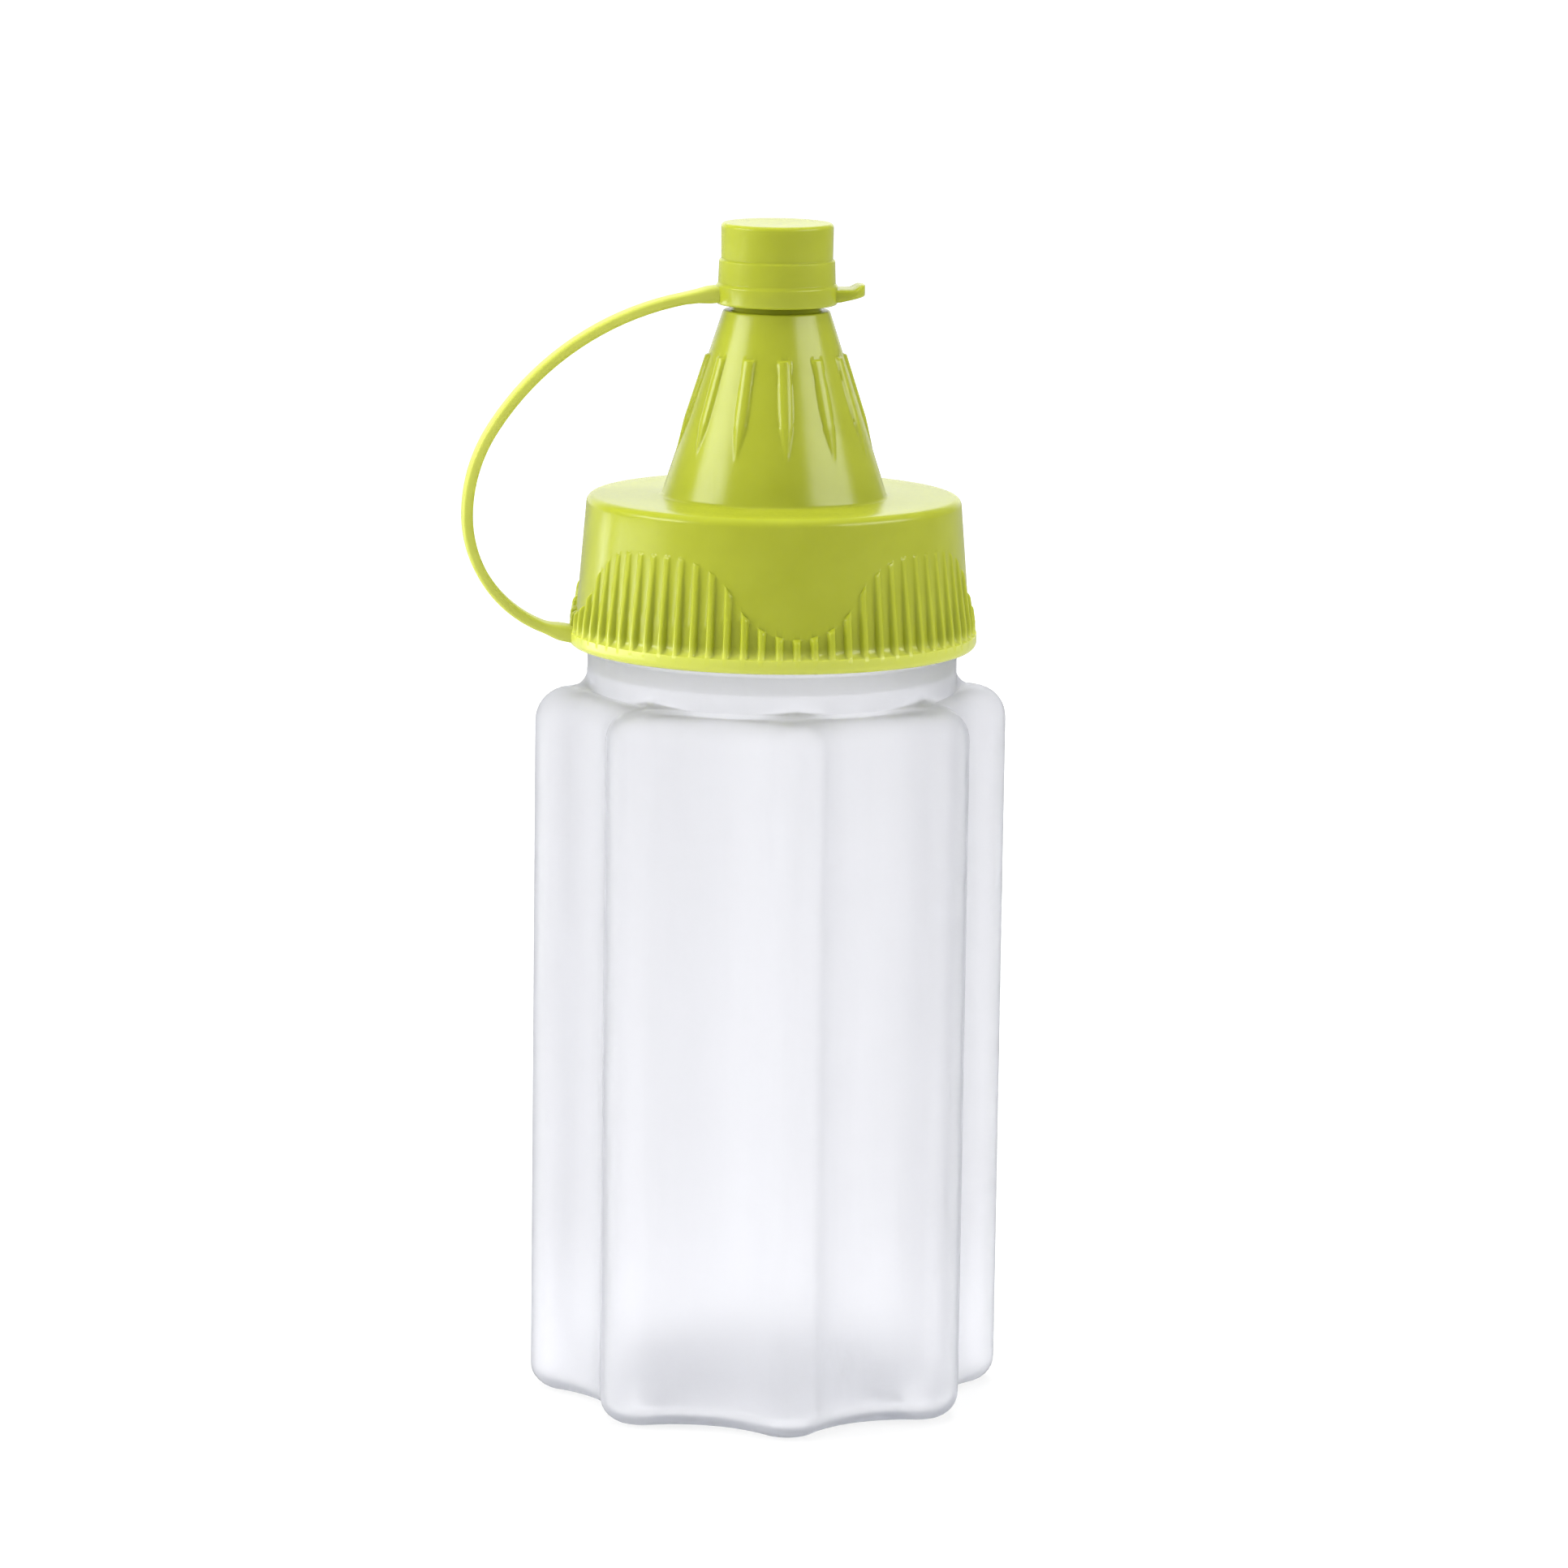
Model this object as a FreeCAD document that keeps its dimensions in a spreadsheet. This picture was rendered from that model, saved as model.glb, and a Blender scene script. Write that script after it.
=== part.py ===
"""Condiment squeeze bottle with a ribbed screw lid, a conical spout and a tip cap on a strap.

Millimetres, +Z up. The origin is the centre of the bottle's base, the strap lies towards -X
and the front of the bottle is towards -Y.
"""
import FreeCAD
import Part
import Sketcher
import math
import os
import re

# Name, size in millimetres (or a count, a share or degrees) and meaning.
SIZES = [
    ("body_radius", 28.2, "bottle axis to the crest of a ridge"),
    ("body_height", 85.6, "base to the flat of the shoulder"),
    ("flute_count", 8, "flutes, and ridges, round the body"),
    ("flute_depth", 4.2, "ridge crest circle to the floor of a flute"),
    ("ridge_round", 5.0, "radius of a ridge's crest in plan"),
    ("shoulder_bevel", 2.6, "bevel over the shoulder's edge"),
    ("base_edge", 1.8, "bevel under the base edge"),
    ("bottle_wall", 1.0, "wall of the body"),
    ("base_wall", 1.4, "thickness of the base"),
    ("collar_step", 1.6, "how far the collar under the lid stands out from the neck"),
    ("collar_height", 4.6, "shoulder to the top of the collar"),
    ("neck_radius", 20.4, "screw neck, without its thread"),
    ("neck_wall", 1.3, "wall of the neck"),
    ("lid_gap", 0.4, "collar to the lid's lower edge"),
    ("lid_height", 17.9, "lid's lower edge to its flat top"),
    ("lid_wall", 1.1, "wall of the lid at its top edge"),
    ("lid_draft", 0.35, "growth of the lid's radius from its top to its rim"),
    ("lid_edge", 0.7, "bevel of the lid's top edge"),
    ("lid_top_wall", 1.4, "thickness of the lid's flat top"),
    ("thread_room", 0.7, "neck to the lid's bore, where the threads run"),
    ("rim_proud", 1.75, "how far the smooth band at the lid's foot stands out"),
    ("rim_height", 2.0, "height of that band"),
    ("rim_edge", 0.9, "bevel under that band"),
    ("rib_count", 72, "grip ribs round the lid"),
    ("rib_width", 0.9, "width of a grip rib"),
    ("rib_setback", 0.15, "how far a rib's foot stays behind that band"),
    ("plain_band", 4.9, "lid's flat top to the highest rib end"),
    ("rib_top_proud", 0.5, "how far a rib stands out at that end"),
    ("scoop_count", 4, "smooth finger scoops among the ribs"),
    ("scoop_foot", 2.1, "length of the shortest rib, in the middle of a scoop"),
    ("scoop_half_width", 15.0, "middle of a scoop to its crest"),
    ("cone_base_radius", 13.4, "spout cone where it leaves the lid"),
    ("cone_top_radius", 6.3, "spout cone under the tip cap"),
    ("cone_height", 22.0, "lid's flat top to the cone's upper end"),
    ("cone_wall", 1.3, "wall of the cone, measured level"),
    ("cone_rib_count", 12, "low ribs round the cone"),
    ("cone_rib_width", 0.9, "width of a cone rib"),
    ("cone_rib_proud", 0.35, "how far a cone rib stands out, measured level"),
    ("cone_rib_start", 4.7, "lid's flat top to the pointed end of a cone rib"),
    ("cone_rib_length", 12.1, "height of a cone rib"),
    ("cone_rib_point", 2.5, "height over which a cone rib comes to its point"),
    ("tip_step", 0.9, "step in from the cone to the spout's tip, inside the cap"),
    ("tip_wall", 0.9, "wall round the orifice at the end of the tip"),
    ("tip_height", 7.6, "cone's upper end to the end of the tip"),
    ("orifice_radius", 1.5, "hole that the sauce leaves by"),
    ("orifice_length", 2.4, "straight length of that hole"),
    ("seal_thickness", 1.2, "sealing ring between neck and lid"),
    ("seal_width", 3.0, "width of the sealing ring"),
    ("seal_clearance", 0.2, "sealing ring to the lid's bore"),
    ("cap_gap", 0.7, "cone's upper end to the tip cap"),
    ("cap_top_wall", 2.2, "thickness of the tip cap over its cavity"),
    ("flange_proud", 0.9, "how far the cap's flange stands out past the cone"),
    ("flange_height", 2.2, "height of that flange"),
    ("flare_draft", 0.35, "how much the flare above the flange draws in"),
    ("flare_height", 3.0, "height of that flare"),
    ("cap_step", 0.2, "step in from the flare to the cap's plain upper part"),
    ("cap_edge", 0.4, "bevel of the cap's top edge"),
    ("cap_clearance", 0.35, "spout tip to the cap's cavity, measured level"),
    ("cap_roof_gap", 0.5, "end of the spout tip to the roof of the cavity"),
    ("stopper_clearance", 0.25, "orifice to the stopper, at the mouth"),
    ("stopper_taper", 0.85, "how much the stopper draws in towards its end"),
    ("stopper_depth", 1.3, "how deep the stopper enters the orifice"),
    ("tab_length", 3.2, "flange to the end of the thumb tab"),
    ("tab_width", 5.0, "width of the thumb tab"),
    ("tab_root", 1.5, "thickness of the tab at the flange"),
    ("tab_end", 0.7, "thickness of the tab at its end"),
    ("tab_lip", 0.5, "height of the upturned lip on the tab"),
    ("tab_round", 1.8, "corner radius of the tab in plan"),
    ("strap_width", 3.2, "width of the strap"),
    ("strap_thickness", 1.25, "thickness of the strap"),
    ("strap_edge", 0.3, "bevel of the strap's long edges"),
    ("strap_bulge", 12.2, "lid's rim to the outermost point of the strap"),
    ("strap_foot_height", 1.6, "lid's lower edge to the middle of the strap's foot"),
    ("strap_low_share", 0.35, "share of the strap's rise that lies below its outermost point"),
    ("strap_foot_slope", 11.5, "degrees by which the strap rises as it leaves the lid"),
    ("strap_low_turn", 19, "degrees of the lower bend next to the outermost point"),
    ("strap_side_turn", 32, "degrees of the upper bend next to the outermost point"),
    ("strap_head_slope", 6, "degrees by which the strap still rises at the cap"),
    ("strap_gap", 0.1, "strap to the lug on the cap, where they would be one"),
    ("lug_length", 0.8, "how far the strap lugs stand out"),
]

# Name, formula on the names above and meaning.
FITS = [
    ("flute_floor", "body_radius - flute_depth", "axis to the floor of a flute"),
    ("ridge_reach", "body_radius - ridge_round", "axis to the centre of a ridge's crest"),
    ("half_pitch", "180 / flute_count", "angle from a ridge to a flute"),
    (
        "flute_reach",
        "(ridge_reach^2 - (flute_floor - ridge_round)^2)"
        " / (2 * (ridge_reach * cos(half_pitch) + ridge_round - flute_floor))",
        "axis to the centre of a flute, where flutes and ridges are tangent",
    ),
    ("flute_round", "flute_reach - flute_floor", "radius of a flute in plan"),
    (
        "flank_cos",
        "(flute_reach * cos(half_pitch) - ridge_reach) / (ridge_round + flute_round)",
        "lean of the flank where ridge and flute meet",
    ),
    (
        "flank_sin",
        "flute_reach * sin(half_pitch) / (ridge_round + flute_round)",
        "the same flank, sideways",
    ),
    ("neck_bore", "neck_radius - neck_wall", "mouth of the bottle"),
    ("collar_radius", "neck_radius + collar_step", "plain collar between shoulder and lid"),
    ("lid_base", "body_height + collar_height + lid_gap", "height of the lid's lower edge"),
    ("lid_bore", "neck_radius + thread_room", "bore of the lid"),
    ("lid_top_radius", "lid_bore + lid_wall", "lid at its top edge"),
    ("lid_roof", "lid_height - lid_top_wall", "lid's lower edge to the underside of its top"),
    ("neck_top", "lid_base + lid_roof - seal_thickness", "height of the neck's rim"),
    ("core_radius", "lid_top_radius + lid_draft", "lid behind the ribs, at the rim"),
    ("rim_radius", "core_radius + rim_proud", "smooth band at the foot of the lid"),
    ("rib_top", "lid_height - plain_band", "lid's lower edge to the highest rib end"),
    ("scoop_floor", "rim_height + scoop_foot", "lid's lower edge to the lowest rib end"),
    ("skirt_inner", "(lid_bore + lid_top_radius) / 2", "where the ribs root in the lid's wall"),
    ("rib_root", "(skirt_inner + lid_top_radius) / 2", "ring inside the wall that joins the ribs"),
    (
        "scoop_round",
        "(scoop_half_width^2 + (rib_top - scoop_floor)^2) / (4 * (rib_top - scoop_floor))",
        "radius of the two bends of a scoop's side",
    ),
    ("cone_top", "lid_height + cone_height", "lid's lower edge to the cone's upper end"),
    ("cone_lean", "(cone_base_radius - cone_top_radius) / cone_height", "slope of the cone"),
    ("tip_base_radius", "cone_top_radius - tip_step", "foot of the spout's tip"),
    ("tip_top_radius", "orifice_radius + tip_wall", "end of the spout's tip"),
    ("tip_top", "cone_top + tip_height", "lid's lower edge to the end of the tip"),
    ("tip_lean", "(tip_base_radius - tip_top_radius) / tip_height", "slope of the tip"),
    ("cap_base", "lid_base + cone_top + cap_gap", "height of the cap's lower edge"),
    ("cap_roof", "tip_height - cap_gap + cap_roof_gap", "cap's lower edge to its cavity's roof"),
    ("cap_height", "cap_roof + cap_top_wall", "tip cap, bottom to top"),
    ("cap_flange_radius", "cone_top_radius + flange_proud", "flange at the foot of the cap"),
    ("flare_radius", "cap_flange_radius - flare_draft", "upper end of the flare"),
    ("flare_top", "flange_height + flare_height", "cap's lower edge to the top of the flare"),
    ("cap_top_radius", "flare_radius - cap_step", "plain upper part of the cap"),
    ("stopper_radius", "orifice_radius - stopper_clearance", "stopper at the orifice's mouth"),
    ("tab_reach", "cap_flange_radius + tab_length", "cap's axis to the end of the tab"),
    ("strap_reach", "rim_radius + strap_bulge", "bottle's axis to the strap's outermost point"),
    ("tab_middle", "flange_height / 2", "cap's lower edge to the middle of the tab"),
]

# Two points closer than this are one.
TOLERANCE = 1e-6

DOC = FreeCAD.newDocument("squeeze_bottle")
SHEET = DOC.addObject("Spreadsheet::Sheet", "Sizes")
NAMES = {row[0] for row in SIZES + FITS}


def fill_sheet():
    """Write every driving size as a number and every fit as a formula, each under its alias."""
    for row, (name, size, note) in enumerate(SIZES + FITS, start=1):
        text = size if isinstance(size, str) else str(size)
        SHEET.set(f"A{row}", note)
        SHEET.set(f"B{row}", "=" + text if isinstance(size, str) else text)
        SHEET.setAlias(f"B{row}", name)
    DOC.recompute()


def formula(text):
    """Point each size named in text at the sheet."""
    return re.sub(r"[a-z_]+", lambda m: f"Sizes.{m[0]}" if m[0] in NAMES else m[0], text)


def value(text):
    """The present value of a formula, as a number."""
    return float(SHEET.evalExpression(formula(text)))


def link(target, path, text):
    """Bind a property or a constraint to a formula."""
    target.setExpression(path, formula(text))


def new_body(name, height="0"):
    """A body whose own origin stands at a height on the bottle's axis."""
    body = DOC.addObject("PartDesign::Body", name)
    link(body, "Placement.Base.z", height)
    return body


def origin(body, role):
    """One of the body's own planes or axes."""
    return next(item for item in body.Origin.OriginFeatures if item.Role == role)


def arc_through(start, end, radius, side):
    """The short arc from start to end that bends to one side."""
    chord = end - start
    half = chord.Length / 2
    normal = FreeCAD.Vector(-chord.y, chord.x, 0).normalize()
    toward = normal if side == "left" else normal * -1
    centre = (start + end) * 0.5 + toward * math.sqrt(radius**2 - half**2)
    angles = [math.atan2(p.y - centre.y, p.x - centre.x) for p in (start, end)]
    first, last = angles if side == "left" else reversed(angles)
    return Part.ArcOfCircle(Part.Circle(centre, FreeCAD.Vector(0, 0, 1), radius), first, last)


def pin_corner(sketch, geometry, vertex, axis, text):
    """Hold one coordinate of a corner at a formula, or on the axis where it is 0."""
    kind, line = (("DistanceX", -2), ("DistanceY", -1))[axis]
    if text == "0":
        sketch.addConstraint(Sketcher.Constraint("PointOnObject", geometry, vertex, line))
        return
    size = value(text)
    ends = (-1, 1, geometry, vertex) if size > 0 else (geometry, vertex, -1, 1)
    number = sketch.addConstraint(Sketcher.Constraint(kind, *ends, abs(size)))
    link(sketch, f"Constraints[{number}]", text if size > 0 else f"-({text})")


def outline(body, name, plane, corners, bends=None):
    """A closed sketch through corners; bends gives (radius, side) for each arc, by its first corner."""
    bends = bends or {}
    sketch = body.newObject("Sketcher::SketchObject", name)
    sketch.AttachmentSupport = (origin(body, plane), [""])
    sketch.MapMode = "FlatFace"
    points = [FreeCAD.Vector(value(x), value(y), 0) for x, y in corners]
    ends = []
    for index, start in enumerate(points):
        end = points[(index + 1) % len(points)]
        radius, side = bends.get(index, (None, "left"))
        edge = arc_through(start, end, value(radius), side) if radius else Part.LineSegment(start, end)
        sketch.addGeometry(edge, False)
        ends.append((1, 2) if side == "left" else (2, 1))
    for index in range(len(points)):
        after = (index + 1) % len(points)
        join = (index, ends[index][1], after, ends[after][0])
        sketch.addConstraint(Sketcher.Constraint("Coincident", *join))
    for index, corner in enumerate(corners):
        for axis in (0, 1):
            pin_corner(sketch, index, ends[index][0], axis, corner[axis])
    for index, (radius, _) in bends.items():
        number = sketch.addConstraint(Sketcher.Constraint("Radius", index, value(radius)))
        link(sketch, f"Constraints[{number}]", radius)
    return sketch


def revolve(body, name, corners):
    """A solid of revolution about the body's Z axis from a half section (radius, height)."""
    feature = body.newObject("PartDesign::Revolution", name)
    feature.Profile = outline(body, name + "_section", "XZ_Plane", corners)
    feature.ReferenceAxis = (feature.Profile[0], ["V_Axis"])
    feature.Angle = 360
    return feature


def across(body, kind, name, corners, width):
    """A Pad or Pocket of an upright outline, centred on the XZ plane."""
    feature = body.newObject("PartDesign::" + kind, name)
    feature.Profile = outline(body, name + "_outline", "XZ_Plane", corners)
    feature.SideType = "Symmetric"
    link(feature, "Length", width)
    return feature


def round_pattern(body, feature, count):
    """Repeat a feature evenly round the body's Z axis."""
    pattern = body.newObject("PartDesign::PolarPattern", feature.Name + "_ring")
    pattern.Originals = [feature]
    pattern.Axis = (origin(body, "Z_Axis"), [""])
    pattern.Angle = 360
    link(pattern, "Occurrences", count)
    body.Tip = pattern
    DOC.recompute()
    return pattern


def dress_edges(body, kind, name, feature, size, chosen):
    """Fillet or Chamfer the edges of a feature that the test chosen picks."""
    DOC.recompute()
    edges = [f"Edge{i}" for i, edge in enumerate(feature.Shape.Edges, start=1) if chosen(edge)]
    dressed = body.newObject("PartDesign::" + kind, name)
    dressed.Base = (feature, edges)
    link(dressed, "Radius" if kind == "Fillet" else "Size", size)
    DOC.recompute()
    return dressed


def flat_at(height):
    """A test for edges that lie flat at one height."""
    return lambda edge: all(abs(end.Z - height) < TOLERANCE for end in edge.Vertexes)


def upright_at(reach):
    """A test for edges that stand upright at one distance along X."""

    def chosen(edge):
        first, last = edge.Vertexes[0], edge.Vertexes[-1]
        outermost = abs(first.X - reach) < TOLERANCE and abs(last.X - reach) < TOLERANCE
        return outermost and abs(first.Z - last.Z) > TOLERANCE

    return chosen


def boolean(kind, name, base, tool):
    """A Part boolean of two objects."""
    result = DOC.addObject("Part::" + kind, name)
    result.Base = base
    result.Tool = tool
    return result


def fluted_block(name, inset, foot, height, top_bevel, foot_bevel):
    """The fluted body, drawn in by inset all round, with its upper and lower edges bevelled."""
    body = new_body(name, foot)
    radial = f"(ridge_reach + (ridge_round - {inset}) * flank_cos)"
    sideways = f"((ridge_round - {inset}) * flank_sin)"
    corners = []
    bends = {}
    for ridge in range(int(value("flute_count"))):
        angle = f"(360 * {ridge} / flute_count)"
        for sign in ("-", "+"):
            other = "+" if sign == "-" else "-"
            x = f"{radial} * cos{angle} {other} {sideways} * sin{angle}"
            y = f"{radial} * sin{angle} {sign} {sideways} * cos{angle}"
            corners.append((x, y))
        bends[2 * ridge] = (f"ridge_round - {inset}", "left")
        bends[2 * ridge + 1] = (f"flute_round + {inset}", "right")
    pad = body.newObject("PartDesign::Pad", name + "_pad")
    pad.Profile = outline(body, name + "_section", "XY_Plane", corners, bends)
    link(pad, "Length", height)
    shoulder = dress_edges(body, "Chamfer", name + "_top", pad, top_bevel, flat_at(value(height)))
    dress_edges(body, "Chamfer", name + "_foot", shoulder, foot_bevel, flat_at(0))
    return body


def make_bottle():
    """The hollow fluted bottle with its collar and open screw neck."""
    block = fluted_block("bottle_block", "0", "0", "body_height", "shoulder_bevel", "base_edge")
    cavity = fluted_block(
        "bottle_cavity",
        "bottle_wall",
        "base_wall",
        "body_height - base_wall - bottle_wall",
        "shoulder_bevel - bottle_wall / 2",
        "base_edge - base_wall / 2",
    )
    neck = new_body("bottle_neck", "body_height - shoulder_bevel")
    collar_top = "shoulder_bevel + collar_height"
    rim = "neck_top - body_height + shoulder_bevel"
    revolve(
        neck,
        "neck_tube",
        [
            ("neck_bore", "0"),
            ("collar_radius", "0"),
            ("collar_radius", collar_top),
            ("neck_radius", collar_top),
            ("neck_radius", rim),
            ("neck_bore", rim),
        ],
    )
    mouth = DOC.addObject("Part::Cylinder", "bottle_mouth")
    link(mouth, "Radius", "neck_bore")
    link(mouth, "Height", rim)
    link(mouth, "Placement.Base.z", "body_height - shoulder_bevel")
    outside = boolean("Fuse", "bottle_outside", block, neck)
    inside = boolean("Fuse", "bottle_inside", cavity, mouth)
    bottle = boolean("Cut", "bottle", outside, inside)
    bottle.Refine = True
    return bottle


def strap_lug(body, name, radius, height, slope):
    """The stub that the strap springs from, its end square to the strap, which leaves rising by slope."""
    back = f"(strap_thickness / 2 * sin({slope}))"
    half = f"(strap_thickness / 2 * cos({slope}))"
    root = f"-({radius} - lug_length)"
    across(
        body,
        "Pad",
        name,
        [
            (f"-({radius} + lug_length + {back})", f"{height} - {half}"),
            (root, f"{height} - {half}"),
            (root, f"{height} + {half}"),
            (f"-({radius} + lug_length - {back})", f"{height} + {half}"),
        ],
        "strap_width",
    )


def make_lid_shell():
    """Rim, drafted wall, flat top, ribbed cone and tip of the lid, hollow from the bore to the orifice."""
    shell = new_body("lid_shell")
    throat = "tip_top - orifice_length"
    cone = revolve(
        shell,
        "lid_turned",
        [
            ("lid_bore", "0"),
            ("rim_radius - rim_edge", "0"),
            ("rim_radius", "rim_edge"),
            ("rim_radius", "rim_height"),
            ("core_radius", "rim_height"),
            ("lid_top_radius", "lid_height - lid_edge"),
            ("lid_top_radius - lid_edge", "lid_height"),
            ("cone_base_radius", "lid_height"),
            ("cone_top_radius", "cone_top"),
            ("tip_base_radius", "cone_top"),
            ("tip_top_radius", "tip_top"),
            ("orifice_radius", "tip_top"),
            ("orifice_radius", throat),
            ("tip_base_radius - cone_wall", "cone_top - cone_wall"),
            ("cone_base_radius - cone_wall", "lid_roof"),
            ("lid_bore", "lid_roof"),
        ],
    )
    rib_end = "cone_rib_start + cone_rib_length"
    blunt = "cone_rib_start + cone_rib_point"
    rib = across(
        shell,
        "Pad",
        "cone_rib",
        [
            ("cone_base_radius - cone_lean * cone_rib_start - cone_wall / 2", "lid_height + cone_rib_start"),
            ("cone_base_radius - cone_lean * cone_rib_start", "lid_height + cone_rib_start"),
            (f"cone_base_radius - cone_lean * ({blunt}) + cone_rib_proud", f"lid_height + {blunt}"),
            (f"cone_base_radius - cone_lean * ({rib_end}) + cone_rib_proud", f"lid_height + {rib_end}"),
            (f"cone_base_radius - cone_lean * ({rib_end}) - cone_wall / 2", f"lid_height + {rib_end}"),
        ],
        "cone_rib_width",
    )
    ribs = round_pattern(shell, rib, "cone_rib_count")
    assert ribs.Shape.Volume > cone.Shape.Volume
    strap_lug(shell, "lid_lug", "rim_radius", "strap_foot_height", "strap_foot_slope")
    return shell


def make_lid_skirt():
    """The flared grip ribs on a ring inside the lid's wall, cut away by the finger scoops."""
    skirt = new_body("lid_skirt")
    foot = "rim_height - rim_edge / 2"
    ring = revolve(
        skirt,
        "skirt_ring",
        [
            ("skirt_inner", foot),
            ("rib_root", foot),
            ("rib_root", "rib_top"),
            ("skirt_inner", "rib_top"),
        ],
    )
    rib = across(
        skirt,
        "Pad",
        "grip_rib",
        [
            ("skirt_inner", foot),
            ("rim_radius - rib_setback", foot),
            ("rim_radius - rib_setback", "rim_height"),
            ("lid_top_radius + rib_top_proud", "rib_top"),
            ("skirt_inner", "rib_top"),
        ],
        "rib_width",
    )
    ribs = round_pattern(skirt, rib, "rib_count")
    above = "rib_top + rib_width"
    middle = "(rib_top + scoop_floor) / 2"
    scoop = skirt.newObject("PartDesign::Pocket", "scoop")
    scoop.Profile = outline(
        skirt,
        "scoop_outline",
        "XZ_Plane",
        [
            ("-scoop_half_width", "rib_top"),
            ("-scoop_half_width / 2", middle),
            ("scoop_half_width / 2", middle),
            ("scoop_half_width", "rib_top"),
            ("scoop_half_width", above),
            ("-scoop_half_width", above),
        ],
        {0: ("scoop_round", "right"), 1: ("scoop_round", "left"), 2: ("scoop_round", "right")},
    )
    link(scoop, "Length", "2 * rim_radius")
    scoops = round_pattern(skirt, scoop, "scoop_count")
    assert ring.Shape.Volume < ribs.Shape.Volume > scoops.Shape.Volume
    return skirt


def make_lid():
    """The screw lid: its shell with the ring of grip ribs."""
    lid = boolean("Fuse", "screw_lid", make_lid_shell(), make_lid_skirt())
    lid.Refine = True
    link(lid, "Placement.Base.z", "lid_base")
    return lid


def make_seal():
    """The flat ring between the neck's rim and the underside of the lid."""
    seal = new_body("lid_seal", "neck_top")
    outer = "lid_bore - seal_clearance"
    inner = "lid_bore - seal_clearance - seal_width"
    revolve(
        seal,
        "seal_ring",
        [(inner, "0"), (outer, "0"), (outer, "seal_thickness"), (inner, "seal_thickness")],
    )
    return seal


def make_cap():
    """The tip cap: flanged outside, tapered inside, with a stopper, a thumb tab and a strap lug."""
    cap = new_body("tip_cap", "cap_base")
    mouth = "tip_base_radius - tip_lean * cap_gap + cap_clearance"
    stopper_end = "tip_height - cap_gap - stopper_depth"
    revolve(
        cap,
        "cap_turned",
        [
            (mouth, "0"),
            ("cap_flange_radius", "0"),
            ("cap_flange_radius", "flange_height"),
            ("flare_radius", "flare_top"),
            ("cap_top_radius", "flare_top"),
            ("cap_top_radius", "cap_height - cap_edge"),
            ("cap_top_radius - cap_edge", "cap_height"),
            ("0", "cap_height"),
            ("0", stopper_end),
            ("stopper_radius - stopper_taper", stopper_end),
            ("stopper_radius", "tip_height - cap_gap"),
            ("stopper_radius", "cap_roof"),
            ("tip_top_radius - tip_lean * cap_roof_gap + cap_clearance", "cap_roof"),
        ],
    )
    root = "cap_flange_radius - tab_root"
    tab = across(
        cap,
        "Pad",
        "thumb_tab",
        [
            (root, "tab_middle - tab_root / 2"),
            ("cap_flange_radius", "tab_middle - tab_root / 2"),
            ("tab_reach", "tab_middle - tab_root / 2 + tab_end"),
            ("tab_reach", "tab_middle + tab_root / 2 + tab_lip"),
            ("tab_reach - tab_end", "tab_middle + tab_root / 2 + tab_lip"),
            ("tab_reach - tab_end - tab_lip", "tab_middle + tab_root / 2"),
            (root, "tab_middle + tab_root / 2"),
        ],
        "tab_width",
    )
    dress_edges(cap, "Fillet", "tab_corners", tab, "tab_round", upright_at(value("tab_reach")))
    strap_lug(cap, "cap_lug", "cap_flange_radius", "tab_middle", "-strap_head_slope")
    return cap


def bend_radii(wide, high, turn, total):
    """Radii of two tangent bends that go wide and high; the first turns by turn, both by total."""
    across_first, up_first = 1 - math.cos(turn), math.sin(turn)
    across_next, up_next = math.cos(turn) - math.cos(total), math.sin(total) - math.sin(turn)
    share = across_first * up_next - across_next * up_first
    return (wide * up_next - high * across_next) / share, (high * across_first - wide * up_first) / share


def strap_half(outermost, end, turn, slope):
    """The strap from its outermost point to an end: the point between its two bends, and their centres."""
    up = 1 if end.z > outermost.z else -1
    reach = end - outermost
    near, far = bend_radii(reach.x, abs(reach.z), turn, math.pi / 2 - slope)
    spoke = FreeCAD.Vector(-math.cos(turn), 0, up * math.sin(turn))
    near_centre = outermost + FreeCAD.Vector(near, 0, 0)
    middle = near_centre + spoke * near
    return middle, near_centre, middle - spoke * far


def strap_route():
    """Points of the strap's middle line from lid to cap, each with the centre of the bend that follows."""
    angles = ("strap_low_turn", "strap_foot_slope", "strap_side_turn", "strap_head_slope")
    low_turn, foot_slope, side_turn, head_slope = (math.radians(value(name)) for name in angles)
    foot = FreeCAD.Vector(-value("rim_radius + lug_length"), 0, value("lid_base + strap_foot_height"))
    lug = FreeCAD.Vector(-value("cap_flange_radius + lug_length"), 0, value("cap_base + tab_middle"))
    inwards = FreeCAD.Vector(math.cos(head_slope), 0, math.sin(head_slope))
    head = lug - inwards * value("strap_gap")
    height = foot.z + (head.z - foot.z) * value("strap_low_share")
    outermost = FreeCAD.Vector(-value("strap_reach"), 0, height)
    low, low_centre, foot_centre = strap_half(outermost, foot, low_turn, foot_slope)
    side, side_centre, head_centre = strap_half(outermost, head, side_turn, head_slope)
    return [
        (foot, foot_centre),
        (low, low_centre),
        (outermost, side_centre),
        (side, head_centre),
        (head, head_centre),
    ]


def strap_edge(start, end, centre, offset):
    """One bend of the strap's outline, offset outwards from the middle line."""

    def at(point):
        spoke = point - centre
        return centre + spoke * ((spoke.Length + offset) / spoke.Length)

    radius = (start - centre).Length
    middle = centre + ((start + end) * 0.5 - centre).normalize() * radius
    return Part.Arc(at(start), at(middle), at(end)).toShape()


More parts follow.
